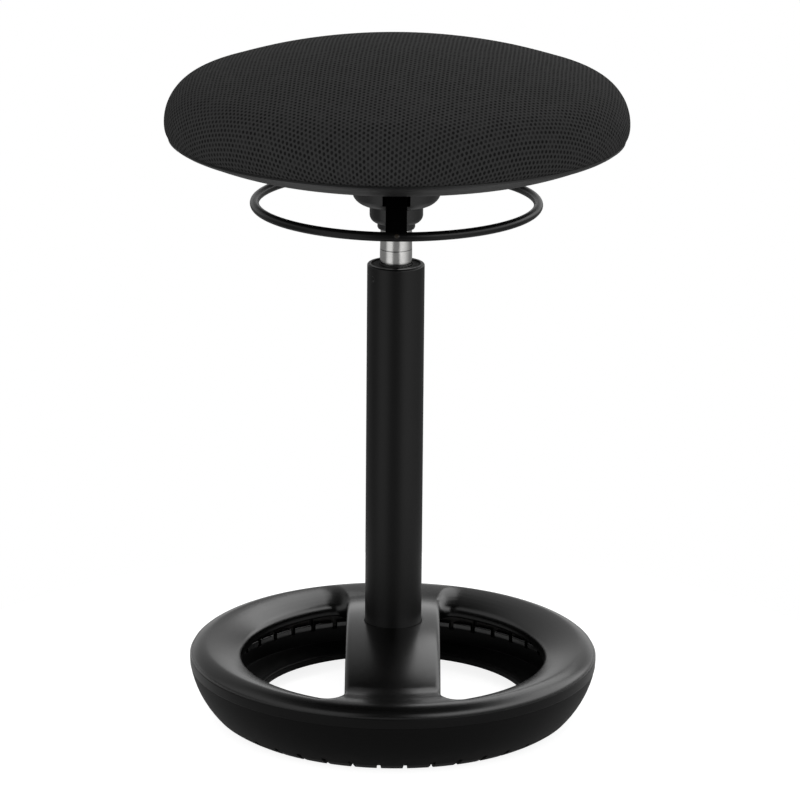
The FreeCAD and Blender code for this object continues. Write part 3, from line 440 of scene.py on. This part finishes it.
GROUPS = {
    "moulded_skin": build_moulded_skin,
    "powder_coat": build_powder_coat,
    "turned_metal": build_turned_metal,
    "floor_scuff": build_floor_scuff,
    "mesh_weave": build_mesh_weave,
    "ply_veneer": build_ply_veneer,
}


# Finishes


def opaque(rgb):
    return (rgb[0], rgb[1], rgb[2], 1.0)


def finish(name, skin, values, relief, plain=None, cloth_layer=None, edge=None, polish=None):
    """A material whose colour, gloss and relief come from one shared group.

    The group takes the values, the shader the plain numbers. Relief is the bump's height in metres,
    edge the radius that softens sharp edges, and polish the roughness of a coat that the group places.
    """
    material = bpy.data.materials.get(name)
    if material:
        return material
    material = bpy.data.materials.new(name)
    material.use_nodes = True
    tree = material.node_tree
    shader = tree.nodes["Principled BSDF"]
    if cloth_layer:
        spot = put(tree, "UVMap", uv_map=cloth_layer).outputs["UV"]
    else:
        spot = put(tree, "TexCoord").outputs["Object"]
    surface = put(tree, "Group", node_tree=bpy.data.node_groups.get(skin) or GROUPS[skin](skin))
    tree.links.new(spot, surface.inputs["Place"])
    for label, given in values.items():
        surface.inputs[label].default_value = given
    tree.links.new(surface.outputs["Colour"], shader.inputs["Base Color"])
    tree.links.new(surface.outputs["Roughness"], shader.inputs["Roughness"])
    bump = put(tree, "Bump", {"Height": surface.outputs["Height"], "Strength": 1.0, "Distance": relief})
    if edge:
        rounded = put(tree, "Bevel", {"Radius": edge}, samples=8)
        tree.links.new(rounded.outputs["Normal"], bump.inputs["Normal"])
    tree.links.new(bump.outputs["Normal"], shader.inputs["Normal"])
    if polish:
        tree.links.new(surface.outputs["Polish"], shader.inputs["Coat Weight"])
        shader.inputs["Coat Roughness"].default_value = polish
    for label, given in (plain or {}).items():
        shader.inputs[label].default_value = given
    return material


def dress(material, *nodes):
    """Puts a finish on CAD nodes."""
    for name in nodes:
        for slot in frame["nodes"][name].material_slots:
            slot.material = material


# Seat


def arc_points(start, end, radius, count):
    """Points of an outward arc of the seat's half section, its start left out."""
    start, end = np.array(start), np.array(end)
    half = (end - start) / 2
    reach = np.linalg.norm(half)
    outward = np.array([-half[1], half[0]]) / reach
    centre = start + half - outward * math.sqrt(radius ** 2 - reach ** 2)
    first, last = (math.atan2(*(spot - centre)[::-1]) for spot in (start, end))
    turns = np.linspace(first, last, count + 1)[1:]
    return [tuple(centre + radius * np.array([math.cos(t), math.sin(t)])) for t in turns]


def seat_section(seat):
    """Half section from crown to hem, as arrays of way along, radius and height."""
    widest = seat.hem + seat.widest_rise
    crown = (0.0, seat.crown)
    shoulder = (seat.radius - seat.shoulder_inset, widest + seat.shoulder_lift)
    edge = (seat.radius, widest)
    hem = (seat.radius - seat.hem_inset, seat.hem + seat.tuck)
    seam = (hem[0] - seat.tuck, seat.hem + SEAM_GAP)
    drop = crown[1] - shoulder[1]
    dome = (shoulder[0] ** 2 + drop ** 2) / (2 * drop)
    spots = [crown] + arc_points(crown, shoulder, dome, DOME_STEPS)
    spots += arc_points(shoulder, edge, seat.edge_bulge, EDGE_STEPS)
    spots += arc_points(edge, hem, seat.hem_bulge, HEM_STEPS)
    spots += arc_points(hem, seam, seat.tuck * TUCK_BULGE, TUCK_STEPS)
    spots = np.array(spots)
    way = np.concatenate([[0.0], np.cumsum(np.linalg.norm(np.diff(spots, axis=0), axis=1))])
    return way, spots[:, 0], spots[:, 1]


def dome_cells(cells):
    """Tilts, headings and faces of a dome.

    It is laid out as a cube's top and half sides, so no cells meet at a pole. A tilt of 1 is the hem.
    """
    steps = np.tan(np.linspace(-1, 1, cells + 1) * math.pi / 4)
    spots = [(x, y, 1.0) for y in steps for x in steps]
    row = cells + 1
    faces = [(j * row + i, j * row + i + 1, (j + 1) * row + i + 1, (j + 1) * row + i)
             for j in range(cells) for i in range(cells)]
    ring = list(range(cells)) + [j * row + cells for j in range(cells)]
    ring += [cells * row + i for i in range(cells, 0, -1)] + [j * row for j in range(cells, 0, -1)]
    border = [spots[i][:2] for i in ring]
    around = len(ring)
    for k in range(1, cells // 2 + 1):
        height = math.tan((1 - k / (cells // 2)) * math.pi / 4)
        below = list(range(len(spots), len(spots) + around))
        spots += [(x, y, height) for x, y in border]
        faces += [(ring[i], below[i], below[(i + 1) % around], ring[(i + 1) % around]) for i in range(around)]
        ring = below
    spots = np.array(spots)
    tilt = np.arctan2(np.hypot(spots[:, 0], spots[:, 1]), spots[:, 2]) / (math.pi / 2)
    heading = np.arctan2(spots[:, 1], spots[:, 0])
    return tilt, heading, faces


def polar(out, heading, up):
    """Points at a distance from the axis, a heading and a height."""
    return np.stack([out * np.cos(heading), out * np.sin(heading), up], axis=1)


def new_mesh_object(name, spots, faces):
    mesh = bpy.data.meshes.new(name)
    mesh.from_pydata([tuple(s) for s in spots], [], faces)
    mesh.update()
    made = bpy.data.objects.new(name, mesh)
    bpy.context.scene.collection.objects.link(made)
    return made


def vertex_array(mesh):
    flat = np.empty(len(mesh.vertices) * 3, np.float32)
    mesh.vertices.foreach_get("co", flat)
    return flat.reshape(-1, 3).astype(float)


def swell(shell, seat, held):
    """Foam pressure on the fabric, with the hem held; returns where the points end."""
    group = shell.vertex_groups.new(name="hem")
    group.add([int(i) for i in np.nonzero(held)[0]], 1.0, "REPLACE")
    cloth = shell.modifiers.new("fabric", "CLOTH")
    cloth.settings.quality = 6
    cloth.settings.mass = 0.3
    cloth.settings.tension_stiffness = 80
    cloth.settings.compression_stiffness = 80
    cloth.settings.bending_stiffness = 20
    cloth.settings.use_pressure = True
    cloth.settings.uniform_pressure_force = seat.pressure
    cloth.settings.effector_weights.gravity = 0
    cloth.settings.vertex_group_mass = group.name
    cloth.point_cache.frame_start = 1
    cloth.point_cache.frame_end = seat.frames
    scene = bpy.context.scene
    for step in range(1, seat.frames + 1):
        scene.frame_set(step)
    view = bpy.context.evaluated_depsgraph_get()
    ended = vertex_array(shell.evaluated_get(view).data)
    shell.modifiers.remove(cloth)
    scene.frame_set(1)
    return ended


def swollen_skin(skin, normal, slack, faces, seat, held, free):
    """The skin that the foam presses out from its slack start, with the slack left on average added back."""
    start = skin - normal * slack[:, None]
    shell = new_mesh_object("seat_shell", start, faces)
    moved = swell(shell, seat, held) - start
    bpy.data.objects.remove(shell)
    far = np.linalg.norm(moved, axis=1)
    moved *= np.minimum(1.0, seat.swell_limit / np.maximum(far, LEAST_MOVE))[:, None]
    outward = (moved * normal).sum(axis=1)
    return start + moved + normal * (slack * (1.0 - outward[free].mean() / seat.slack))[:, None]


def add_underside(mesh, seat):
    """Turns the hem under the board and closes the pad round it."""
    form = bmesh.new()
    form.from_mesh(mesh)
    rim = {v for e in form.edges if e.is_boundary for v in e.verts}
    rim = sorted(rim, key=lambda v: math.atan2(v.co.y, v.co.x))
    hem = rim[0].co.z
    cloth = form.loops.layers.uv.active
    inner, outer = BOARD_HIGH.x - seat.turn_under, BOARD_HIGH.x + BOARD_GAP
    low, high = BOARD_LOW.z - BOARD_GAP, BOARD_HIGH.z + BOARD_GAP
    under = []
    ring = rim
    for radius, height in ((inner, hem), (inner, low), (outer, low), (outer, high)):
        below = []
        for v in rim:
            turn = math.atan2(v.co.y, v.co.x)
            below.append(form.verts.new((radius * math.cos(turn), radius * math.sin(turn), height)))
        for i, v in enumerate(ring):
            after = (i + 1) % len(ring)
            under.append(form.faces.new((ring[after], v, below[i], below[after])))
        ring = below
    under.append(form.faces.new(ring))
    for face in under:
        for loop in face.loops:
            loop[cloth].uv = loop.vert.co.xy
    bmesh.ops.recalc_face_normals(form, faces=form.faces[:])
    for face in form.faces:
        face.smooth = face.calc_center_median().z > hem + SEAM_GAP
    form.to_mesh(mesh)
    form.free()


def lay_cloth(mesh, along, heading):
    """Flat places of the fabric, from the way along the section and the heading."""
    flat = np.stack([along * np.cos(heading), along * np.sin(heading)], axis=1)
    corners = np.empty(len(mesh.loops), np.int32)
    mesh.loops.foreach_get("vertex_index", corners)
    mesh.uv_layers.new(name=CLOTH_LAYER).data.foreach_set("uv", flat[corners].astype(np.float32).ravel())


# Operators of the pieces


class StoolOperator(bpy.types.Operator):
    """Shared options of the stool's operators."""
    bl_options = {"REGISTER", "UNDO"}


class STOOL_OT_dress_base(StoolOperator):
    """Satin plastic, ribbed rubber and hidden iron of the ring base"""
    bl_idname = "stool.dress_base"
    bl_label = "Dress Base"

    def execute(self, context):
        tint = context.scene.stool_finish
        dress(finish("frame_satin", "moulded_skin",
                     {"Colour": opaque(tint.frame), "Roughness": 0.23, "Grain": 1500.0},
                     relief=0.00002, edge=0.004),
              "base_frame")
        dress(finish("bowl_satin", "moulded_skin",
                     {"Colour": opaque(tint.bowl), "Roughness": 0.34, "Grain": 1500.0, "Crest": TEETH_TOP,
                      "Crest Relief": 320.0},
                     relief=0.00002, plain={"Specular IOR Level": 0.14, "Coat IOR": 1.9}, edge=0.0012,
                     polish=0.2),
              "base_bowl")
        dress(finish("tread_ribbed", "floor_scuff",
                     {"Colour": opaque(tint.tread), "Roughness": 0.5, "Reach": 0.02, "Amount": 0.35},
                     relief=0.00004, plain={"Specular IOR Level": 0.09}),
              "tread_ring")
        dress(finish("ballast_cast", "moulded_skin",
                     {"Colour": opaque(tint.iron), "Roughness": 0.7, "Grain": 500.0},
                     relief=0.0003, plain={"Metallic": 1.0}),
              "ballast_ring")
        # The base screws' near-black colour is painted shade inside the base; their metal is the fixings'
        # zinc.
        dress(finish("screw_zinc_shaded", "turned_metal", {"Colour": opaque(tint.screw), "Roughness": 0.4},
                     relief=0.00002, plain={"Metallic": 1.0}),
              "base_screws")
        return {"FINISHED"}


class STOOL_OT_dress_column(StoolOperator):
    """Powder-coated tube, bush, bearing and gas spring"""
    bl_idname = "stool.dress_column"
    bl_label = "Dress Column"

    def execute(self, context):
        tint = context.scene.stool_finish
        dress(finish("column_coat", "powder_coat",
                     {"Colour": opaque(tint.column), "Roughness": 0.38, "Peel": 500.0, "Mark": TUBE_DIMPLE,
                      "Mark Size": 0.003, "Mark Painted Light": opaque(tint.dimple), "Mark Rise": -25.0},
                     relief=0.00003, plain={"Specular IOR Level": 0.28}),
              "column_tube")
        dress(finish("bush_plastic", "moulded_skin",
                     {"Colour": opaque(tint.bush), "Roughness": 0.6, "Grain": 420.0},
                     relief=0.0006, plain={"Specular IOR Level": 0.12}),
              "guide_bush", "rod_guide", "valve_body", "piston")
        dress(finish("bearing_ground", "turned_metal", {"Colour": opaque(tint.zinc), "Roughness": 0.2},
                     relief=0.00001, plain={"Metallic": 1.0}),
              "tube_end_plate", "lower_race", "upper_race", "ball_cage", "bearing_balls", "rod_clip",
              "valve_pin")
        dress(finish("bumper_soft", "floor_scuff", {"Colour": opaque(tint.tread), "Roughness": 0.7},
                     relief=0.00004),
              "end_bumper")
        dress(finish("cylinder_plated", "turned_metal",
                     {"Colour": opaque(tint.chrome), "Roughness": 0.17,
                      "Line Height": CYLINDER_HIGH.z - CONE_LENGTH},
                     relief=0.00002, plain={"Metallic": 1.0}),
              "gas_cylinder", "piston_rod")
        return {"FINISHED"}


class STOOL_OT_dress_mount(StoolOperator):
    """Coated mount, its stepped plastic cover, pin and bolts"""
    bl_idname = "stool.dress_mount"
    bl_label = "Dress Mount"

    def execute(self, context):
        tint = context.scene.stool_finish
        dress(finish("mount_coat", "powder_coat", {"Colour": opaque(tint.mount), "Roughness": 0.4},
                     relief=0.00004),
              "mount_socket", "mount_plate")
        dress(finish("cover_satin", "moulded_skin", {"Colour": opaque(tint.cover), "Roughness": 0.36},
                     relief=0.00002),
              "mount_cover")
        dress(finish("fixing_zinc", "turned_metal", {"Colour": opaque(tint.zinc), "Roughness": 0.3},
                     relief=0.00002, plain={"Metallic": 1.0}),
              "hinge_pin", "seat_bolts", "tee_nuts")
        return {"FINISHED"}


class STOOL_OT_dress_hand_ring(StoolOperator):
    """Powder-coated release ring and strap, with painted shade on the strap and a painted highlight on the
    weld
    """
    bl_idname = "stool.dress_hand_ring"
    bl_label = "Dress Hand Ring"

    def execute(self, context):
        tint = context.scene.stool_finish
        # The weld spot is a raised bead whose lighter brownish colour is a painted highlight where the strap
        # meets the hand ring.
        dress(finish("lever_coat", "powder_coat",
                     {"Colour": opaque(tint.lever), "Roughness": 0.3, "Peel": 700.0, "Mark": RING_WELD,
                      "Mark Painted Light": opaque(tint.weld), "Mark Rise": 20.0},
                     relief=0.00002, plain={"Specular IOR Level": 0.24}),
              "hand_ring")
        # The strap's darker colour is painted shade under the seat, on the same powder coat as the hand ring.
        dress(finish("strap_coat_shaded", "powder_coat",
                     {"Colour": opaque(tint.strap), "Roughness": 0.55, "Peel": 700.0},
                     relief=0.00002, plain={"Specular IOR Level": 0.15}),
              "lever_strap")
        return {"FINISHED"}


class STOOL_OT_dress_seat_shell(StoolOperator):
    """Moulded pan and plywood board under the pad"""
    bl_idname = "stool.dress_seat_shell"
    bl_label = "Dress Seat Shell"

    def execute(self, context):
        tint = context.scene.stool_finish
        dress(finish("pan_satin", "moulded_skin",
                     {"Colour": opaque(tint.pan), "Roughness": 0.38, "Grain": 1300.0},
                     relief=0.00002, plain={"Specular IOR Level": 0.25}),
              "seat_pan")
        dress(finish("board_ply", "ply_veneer", {"Colour": opaque(tint.ply)}, relief=0.00005), "seat_board")
        return {"FINISHED"}


class STOOL_OT_pad_seat(StoolOperator):
    """Domed foam pad under taut mesh fabric, swollen by a short cloth simulation"""
    bl_idname = "stool.pad_seat"
    bl_label = "Pad Seat"

    def execute(self, context):
        seat = context.scene.stool_seat
        way, radius, height = seat_section(seat)
        tilt, heading, faces = dome_cells(seat.cells)
        along = tilt * way[-1]
        skin = polar(np.interp(along, way, radius), heading, np.interp(along, way, height))
        slope_out, slope_up = np.gradient(radius, way), np.gradient(height, way)
        normal = polar(-np.interp(along, way, slope_up), heading, np.interp(along, way, slope_out))
        fade = np.clip((way[-1] - along) / SETTLE_BAND, 0.0, 1.0)
        slack = seat.slack * fade * fade * (3 - 2 * fade)
        held = along > way[-1] - HELD_BAND
        skin = swollen_skin(skin, normal, slack, faces, seat, held, free=fade >= 1.0)
        pad = new_mesh_object("seat_cushion", skin, faces)
        lay_cloth(pad.data, along, heading)
        smooth = pad.modifiers.new("smooth", "SUBSURF")
        smooth.levels = smooth.render_levels = 1
        view = context.evaluated_depsgraph_get()
        pad.data = bpy.data.meshes.new_from_object(pad.evaluated_get(view), depsgraph=view)
        pad.modifiers.clear()
        add_underside(pad.data, seat)
        pad.data.materials.append(finish(
            "seat_mesh", "mesh_weave",
            {"Yarn": opaque(seat.yarn), "Depth": opaque(seat.depth), "Across": seat.pitch_across,
             "Along": seat.pitch_along, "Bias": seat.bias},
            relief=0.0009, plain={"Specular IOR Level": 0.02}, cloth_layer=CLOTH_LAYER))
        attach(pad, "seat")
        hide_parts("seat_cover", "seat_foam")
        return {"FINISHED"}


# Stage


def studio_light(tree, heading, rise):
    """Brightness of the studio by heading, in radians from the camera's side, and by rise, -1 to 1.

    The ends of each step over the headings are in degrees, positive to the right.
    """

    def by_heading(start, end, at_start=0.0, at_end=1.0, given=heading):
        return ramp(tree, given, math.radians(start), math.radians(end), at_start, at_end)

    def by_rise(start, end, at_start=0.0, at_end=1.0):
        return ramp(tree, rise, start, end, at_start, at_end)

    behind = by_heading(90, 140, given=calc(tree, "ABSOLUTE", heading))
    paler_low = by_rise(0.36, 0.04, 0.52, 0.86)
    dark_overhead = by_rise(0.64, 0.9, 1.0, 0.14)
    dark_below = by_rise(-0.14, 0.01, 0.22, 1.0)
    dimmer_left = ramp(tree, calc(tree, "SINE", heading), -0.35, 0.05, 0.78, 1.0)
    back = product(tree, behind, paler_low, dark_overhead, dark_below, dimmer_left)
    right_low = product(tree, by_heading(36, 125, 0.84, 0.2), by_heading(14, 34))
    right_high = product(tree, by_heading(9, 30, 0.0, 2.6), by_heading(152, 132))
    left_low = product(tree, by_heading(-14, -32, 0.0, 0.8), by_heading(-88, -56, 0.12, 1.0))
    left_high = product(tree, by_heading(-10, -30, 0.0, 0.75), by_heading(-150, -100, 0.3, 1.0))
    low = calc(tree, "ADD", right_low, left_low)
    high = calc(tree, "ADD", right_high, left_high)
    sides = product(tree, by_rise(-0.1, 0.35, low, high), by_rise(0.95, 0.7))
    front = by_rise(-0.2, 0.1, 0.2, 0.05)
    return calc(tree, "MAXIMUM", calc(tree, "MAXIMUM", sides, back), front)


def mirror_rays(tree, path):
    """1 for a ray that shows the surroundings in or through a surface."""
    return calc(tree, "MAXIMUM", path["Is Glossy Ray"], path["Is Transmission Ray"])


def set_world(context, stage):
    """White to the camera, a studio to reflections and an even light to everything else."""
    world = bpy.data.worlds.new("studio")
    context.scene.world = world
    world.use_nodes = True
    tree = world.node_tree
    tree.nodes.clear()
    axes = split(tree, put(tree, "TexCoord").outputs["Generated"])
    heading = calc(tree, "ARCTAN2", axes[0], calc(tree, "MULTIPLY", axes[1], -1.0))
    path = put(tree, "LightPath").outputs
    seen = calc(tree, "MAXIMUM", path["Is Camera Ray"], mirror_rays(tree, path))
    shown = calc(tree, "MAXIMUM", path["Is Camera Ray"], studio_light(tree, heading, axes[2]))
    soft = put(tree, "Background", {"Color": WHITE, "Strength": stage.fill})
    backdrop = put(tree, "Background", {"Color": WHITE, "Strength": shown})
    mixed = put(tree, "MixShader", {0: seen, 1: soft.outputs[0], 2: backdrop.outputs[0]})
    put(tree, "OutputWorld", {"Surface": mixed.outputs[0]})


def pale_floor(stage):
    """Matt paint that takes the shadow, with a glow that only the camera and reflections see."""
    material = bpy.data.materials.new("floor_pale")
    material.use_nodes = True
    tree = material.node_tree
    tree.nodes.clear()
    path = put(tree, "LightPath").outputs
    shown = calc(tree, "MULTIPLY", path["Is Camera Ray"], stage.floor_white)
    glow = calc(tree, "MULTIPLY_ADD", mirror_rays(tree, path), stage.floor_mirror, shown)
    grain = noise(tree, put(tree, "TexCoord").outputs["Object"], scale=40.0)
    tint = scaled(tree, tuple(stage.floor), between(tree, grain, 0.99, 1.01))
    paint = put(tree, "BsdfDiffuse", {"Color": tint})
    light = put(tree, "Emission", {"Color": WHITE, "Strength": glow})
    both = put(tree, "AddShader", {0: paint.outputs[0], 1: light.outputs[0]})
    put(tree, "OutputMaterial", {"Surface": both.outputs[0]})
    return material


def set_floor(context, stage):
    """A round pale floor that shows white to the camera and keeps a faint shadow."""
    form = bmesh.new()
    bmesh.ops.create_circle(form, cap_ends=True, cap_tris=False, segments=FLOOR_SIDES,
                            radius=stage.floor_radius)
    bmesh.ops.inset_individual(form, faces=form.faces[:], thickness=stage.floor_radius * FLOOR_RIM)
    mesh = bpy.data.meshes.new("floor")
    form.to_mesh(mesh)
    form.free()
    floor = bpy.data.objects.new("floor", mesh)
    floor.location.z = -stage.floor_drop
    context.scene.collection.objects.link(floor)
    mesh.materials.append(pale_floor(stage))


def set_key_light(context, stage):
    """A square soft box behind the stool, to its right."""
    lamp = bpy.data.lights.new("key_box", "AREA")
    lamp.shape = "RECTANGLE"
    lamp.size = lamp.size_y = stage.key_size
    lamp.energy = stage.key_power
    box = bpy.data.objects.new("key_box", lamp)
    box.location = stage.key_place
    aim = Vector(stage.key_aim) - Vector(stage.key_place)
    box.rotation_euler = aim.to_track_quat("-Z", "Y").to_euler()
    context.scene.collection.objects.link(box)


def set_camera(context, stage):
    """The photograph's view: in front of the stool, a little above it, through a long lens."""
    lens = bpy.data.cameras.new("front_view")
    lens.sensor_width = SENSOR_WIDTH
    lens.lens = stage.lens
    lens.clip_end = VIEW_DEPTH
    camera = bpy.data.objects.new("front_view", lens)
    level = math.cos(stage.pitch)
    ahead = Vector((math.sin(stage.yaw) * level, math.cos(stage.yaw) * level, -math.sin(stage.pitch)))
    right = Vector((math.cos(stage.yaw), -math.sin(stage.yaw), 0.0))
    upward = right.cross(ahead)
    across = math.cos(stage.roll) * right + math.sin(stage.roll) * upward
    up = math.cos(stage.roll) * upward - math.sin(stage.roll) * right
    turn = Matrix((across, up, -ahead)).transposed().to_4x4()
    camera.matrix_world = Matrix.Translation((0.0, -stage.distance, stage.height)) @ turn
    context.scene.collection.objects.link(camera)
    context.scene.camera = camera


class STOOL_OT_set_stage(StoolOperator):
    """Pale floor, soft studio light and the camera in front"""
    bl_idname = "stool.set_stage"
    bl_label = "Set Stage"

    def execute(self, context):
        stage = context.scene.stool_stage
        set_camera(context, stage)
        set_floor(context, stage)
        set_world(context, stage)
        set_key_light(context, stage)
        context.scene.view_settings.view_transform = "Standard"
        return {"FINISHED"}


class STOOL_PT_panel(bpy.types.Panel):
    """Lists the stool's steps in the sidebar"""
    bl_idname = "STOOL_PT_panel"
    bl_label = "Rocking Stool"
    bl_space_type = "VIEW_3D"
    bl_region_type = "UI"
    bl_category = "Stool"

    def draw(self, context):
        for step in STEPS:
            self.layout.operator(step.bl_idname)
        for settings in (context.scene.stool_seat, context.scene.stool_finish, context.scene.stool_stage):
            box = self.layout.box()
            for name in settings.__annotations__:
                box.prop(settings, name)


STEPS = (STOOL_OT_dress_base, STOOL_OT_dress_column, STOOL_OT_dress_mount, STOOL_OT_dress_hand_ring,
         STOOL_OT_dress_seat_shell, STOOL_OT_pad_seat, STOOL_OT_set_stage)
CLASSES = (StoolSeatSettings, StoolFinishSettings, StoolStageSettings, *STEPS, STOOL_PT_panel)


def register():
    for each in CLASSES:
        bpy.utils.register_class(each)
    bpy.types.Scene.stool_seat = PointerProperty(type=StoolSeatSettings)
    bpy.types.Scene.stool_finish = PointerProperty(type=StoolFinishSettings)
    bpy.types.Scene.stool_stage = PointerProperty(type=StoolStageSettings)


def unregister():
    del bpy.types.Scene.stool_stage, bpy.types.Scene.stool_finish, bpy.types.Scene.stool_seat
    for each in reversed(CLASSES):
        bpy.utils.unregister_class(each)


def main():
    register()
    bpy.ops.stool.dress_base()
    bpy.ops.stool.dress_column()
    bpy.ops.stool.dress_mount()
    bpy.ops.stool.dress_hand_ring()
    bpy.ops.stool.dress_seat_shell()
    bpy.ops.stool.pad_seat()
    bpy.ops.stool.set_stage()


if __name__ == "__main__":
    main()
